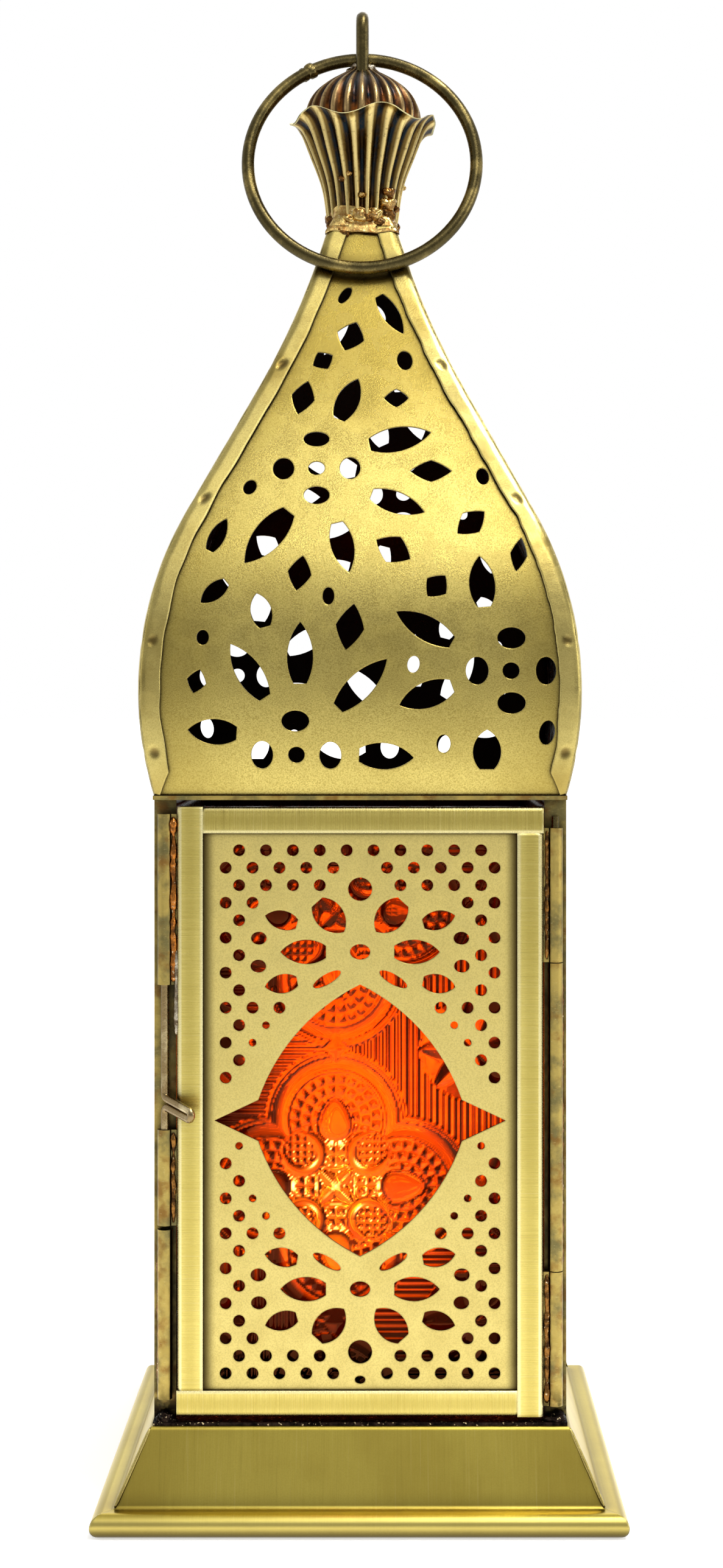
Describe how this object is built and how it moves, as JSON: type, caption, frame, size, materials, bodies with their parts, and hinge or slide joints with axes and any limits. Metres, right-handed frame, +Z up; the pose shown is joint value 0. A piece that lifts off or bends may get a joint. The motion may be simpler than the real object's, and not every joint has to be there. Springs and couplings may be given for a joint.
{
  "type": "candle lantern",
  "caption": "Square pierced-brass candle lantern with amber glass panels, a hinged door with a drop bolt, an ogee dome, a ruffled finial and a carrying ring.",
  "frame": {"origin": "middle of the square base at the level it stands on", "axes": "+Z up along the lantern, front with the door towards -Y, +X to the right of someone facing the door"},
  "size_m": [0.1, 0.1, 0.2976],
  "materials": {
    "brass_brushed": "brushed",
    "brass_blasted": "sand-blasted matte",
    "brass_satin": "satin",
    "brass_antique": "antiqued, dark in the grooves",
    "brass_dark": "dark antique",
    "brass_patina": "dull, heat stained",
    "amber_glass": "pressed relief, clear amber",
    "wax": "waxy",
    "wick": "charred cotton"
  },
  "bodies": {
    "lantern": {"plinth_front": "brass_brushed", "plinth_right": "brass_brushed", "plinth_back": "brass_brushed", "plinth_left": "brass_brushed", "floor_plate": "brass_patina", "post_front_left": "brass_patina", "post_front_right": "brass_patina", "post_back_left": "brass_patina", "post_back_right": "brass_patina", "top_frame": "brass_patina", "right_pierced_sheet": "brass_blasted", "right_glass": "amber_glass", "right_left_stile": "brass_brushed", "right_right_stile": "brass_brushed", "right_top_rail": "brass_brushed", "right_bottom_rail": "brass_brushed", "back_pierced_sheet": "brass_blasted", "back_glass": "amber_glass", "back_left_stile": "brass_brushed", "back_right_stile": "brass_brushed", "back_top_rail": "brass_brushed", "back_bottom_rail": "brass_brushed", "left_pierced_sheet": "brass_blasted", "left_glass": "amber_glass", "left_left_stile": "brass_brushed", "left_right_stile": "brass_brushed", "left_top_rail": "brass_brushed", "left_bottom_rail": "brass_brushed", "hinge_frame_knuckle": "brass_patina", "hinge_pin": "brass_patina", "latch_keeper": "brass_patina", "dome_panel_front": "brass_satin", "dome_panel_right": "brass_satin", "dome_panel_back": "brass_satin", "dome_panel_left": "brass_satin", "dome_binding_1": "brass_satin", "dome_binding_2": "brass_satin", "dome_binding_3": "brass_satin", "dome_binding_4": "brass_satin", "finial_cup": "brass_antique", "finial_cap": "brass_antique", "hanging_eye": "brass_dark", "candle_dish": "brass_patina"},
    "door": {"door_pierced_sheet": "brass_blasted", "door_glass": "amber_glass", "door_left_stile": "brass_brushed", "door_right_stile": "brass_brushed", "door_top_rail": "brass_brushed", "door_bottom_rail": "brass_brushed", "hinge_lower_knuckle": "brass_patina", "hinge_upper_knuckle": "brass_patina", "latch_lower_guide": "brass_patina", "latch_upper_guide": "brass_patina"},
    "latch_bolt": {"latch_bolt": "brass_patina"},
    "carry_ring": {"carry_ring": "brass_dark"},
    "candle": {"candle_wax": "wax", "candle_wick": "wick"}
  },
  "joints": [
    {"name": "door_hinge", "type": "hinge", "parent": "lantern", "child": "door", "pos_m": [0.0371, -0.0379, 0.0765], "axis": [0, 0, 1], "range_deg": [0, 170]},
    {"name": "latch_slide", "type": "slide", "parent": "door", "child": "latch_bolt", "axis": [0, 0, 1], "range_m": [-0.003, 0.018]},
    {"name": "ring_swing", "type": "hinge", "parent": "lantern", "child": "carry_ring", "pos_m": [0, 0, 0.2878], "axis": [-1, 0, 0], "range_deg": [0, 330]},
    {"name": "candle_lift", "type": "slide", "parent": "lantern", "child": "candle", "axis": [0, 0, 1], "range_m": [0, 0.03]}
  ]
}
